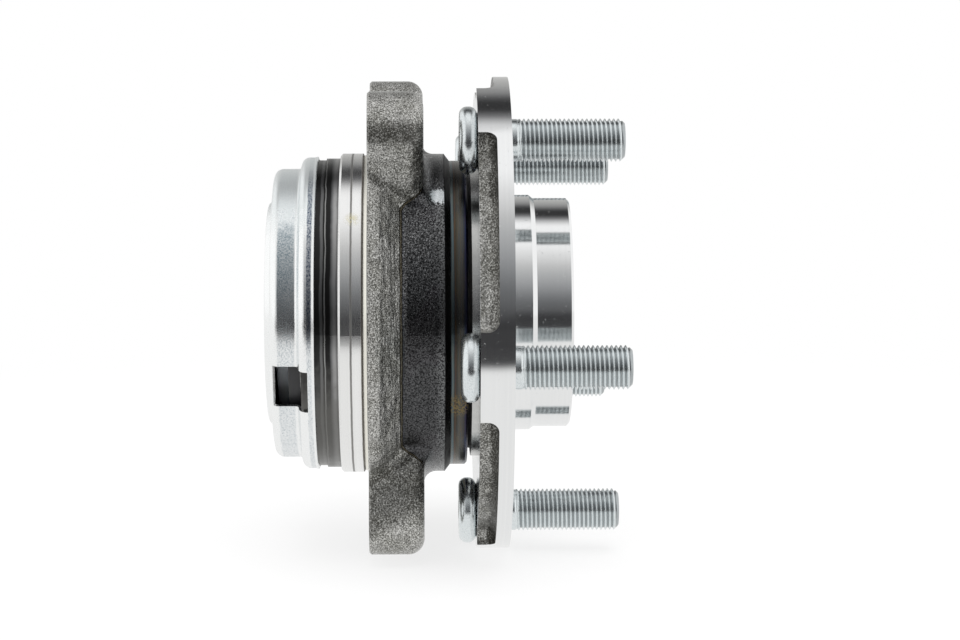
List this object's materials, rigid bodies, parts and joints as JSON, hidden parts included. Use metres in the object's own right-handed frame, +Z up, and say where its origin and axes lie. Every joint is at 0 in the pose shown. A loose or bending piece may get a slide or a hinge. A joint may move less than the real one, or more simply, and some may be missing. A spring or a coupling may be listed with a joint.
{
  "type": "wheel hub bearing",
  "caption": "Wheel hub bearing unit: eared outer ring, flanged hub with press-in wheel studs, two caged ball rows, seals and a closed sensor cap.",
  "frame": {"origin": "centre of the wheel mounting face of the hub flange, on the spin axis", "axes": "+Y along the spin axis, outboard towards the wheel; +Z up, with the four ears in a rectangle along X and Z; +X completes the right-handed set"},
  "size_m": [0.136, 0.1005, 0.136],
  "materials": {
    "forged_steel": "shot-blasted forging with turned and heat-blued seats",
    "machined_steel": "fine turned steel, forged scallops",
    "bearing_steel": "ground",
    "ball_steel": "lapped",
    "polyamide": "natural moulded",
    "seal_steel": "stamped sheet",
    "seal_rubber": "matt black",
    "encoder_rubber": "smooth black, magnetised",
    "zinc_cap": "bright zinc plate",
    "zinc_stud": "bright zinc plate"
  },
  "bodies": {
    "outer_ring": {"outer_ring": "forged_steel", "sensor_cap": "zinc_cap", "outboard_seal_case": "seal_steel", "outboard_seal_lips": "seal_rubber", "inboard_seal_case": "seal_steel", "inboard_seal_lips": "seal_rubber"},
    "hub": {"wheel_hub": "machined_steel", "inner_ring": "bearing_steel", "outboard_slinger": "seal_steel", "inboard_slinger": "seal_steel", "encoder_carrier": "seal_steel", "encoder_magnet": "encoder_rubber", "wheel_stud_1": "zinc_stud", "wheel_stud_2": "zinc_stud", "wheel_stud_3": "zinc_stud", "wheel_stud_4": "zinc_stud", "wheel_stud_5": "zinc_stud"},
    "outboard_row": {"outboard_cage": "polyamide", "outboard_ball_01": "ball_steel", "outboard_ball_02": "ball_steel", "outboard_ball_03": "ball_steel", "outboard_ball_04": "ball_steel", "outboard_ball_05": "ball_steel", "outboard_ball_06": "ball_steel", "outboard_ball_07": "ball_steel", "outboard_ball_08": "ball_steel", "outboard_ball_09": "ball_steel", "outboard_ball_10": "ball_steel", "outboard_ball_11": "ball_steel", "outboard_ball_12": "ball_steel", "outboard_ball_13": "ball_steel", "outboard_ball_14": "ball_steel"},
    "inboard_row": {"inboard_cage": "polyamide", "inboard_ball_01": "ball_steel", "inboard_ball_02": "ball_steel", "inboard_ball_03": "ball_steel", "inboard_ball_04": "ball_steel", "inboard_ball_05": "ball_steel", "inboard_ball_06": "ball_steel", "inboard_ball_07": "ball_steel", "inboard_ball_08": "ball_steel", "inboard_ball_09": "ball_steel", "inboard_ball_10": "ball_steel", "inboard_ball_11": "ball_steel", "inboard_ball_12": "ball_steel", "inboard_ball_13": "ball_steel", "inboard_ball_14": "ball_steel"}
  },
  "joints": [
    {"name": "hub_spin", "type": "hinge", "parent": "outer_ring", "child": "hub", "pos_m": [0, 0, 0], "axis": [0, 1, 0], "continuous": true},
    {"name": "outboard_row_orbit", "type": "hinge", "parent": "outer_ring", "child": "outboard_row", "pos_m": [0, -0.0254, 0], "axis": [0, 1, 0], "continuous": true},
    {"name": "inboard_row_orbit", "type": "hinge", "parent": "outer_ring", "child": "inboard_row", "pos_m": [0, -0.0447, 0], "axis": [0, 1, 0], "continuous": true}
  ],
  "couplings": [
    {"joint": "outboard_row_orbit", "follows": "hub_spin", "ratio": 0.42641},
    {"joint": "inboard_row_orbit", "follows": "hub_spin", "ratio": 0.42641}
  ]
}
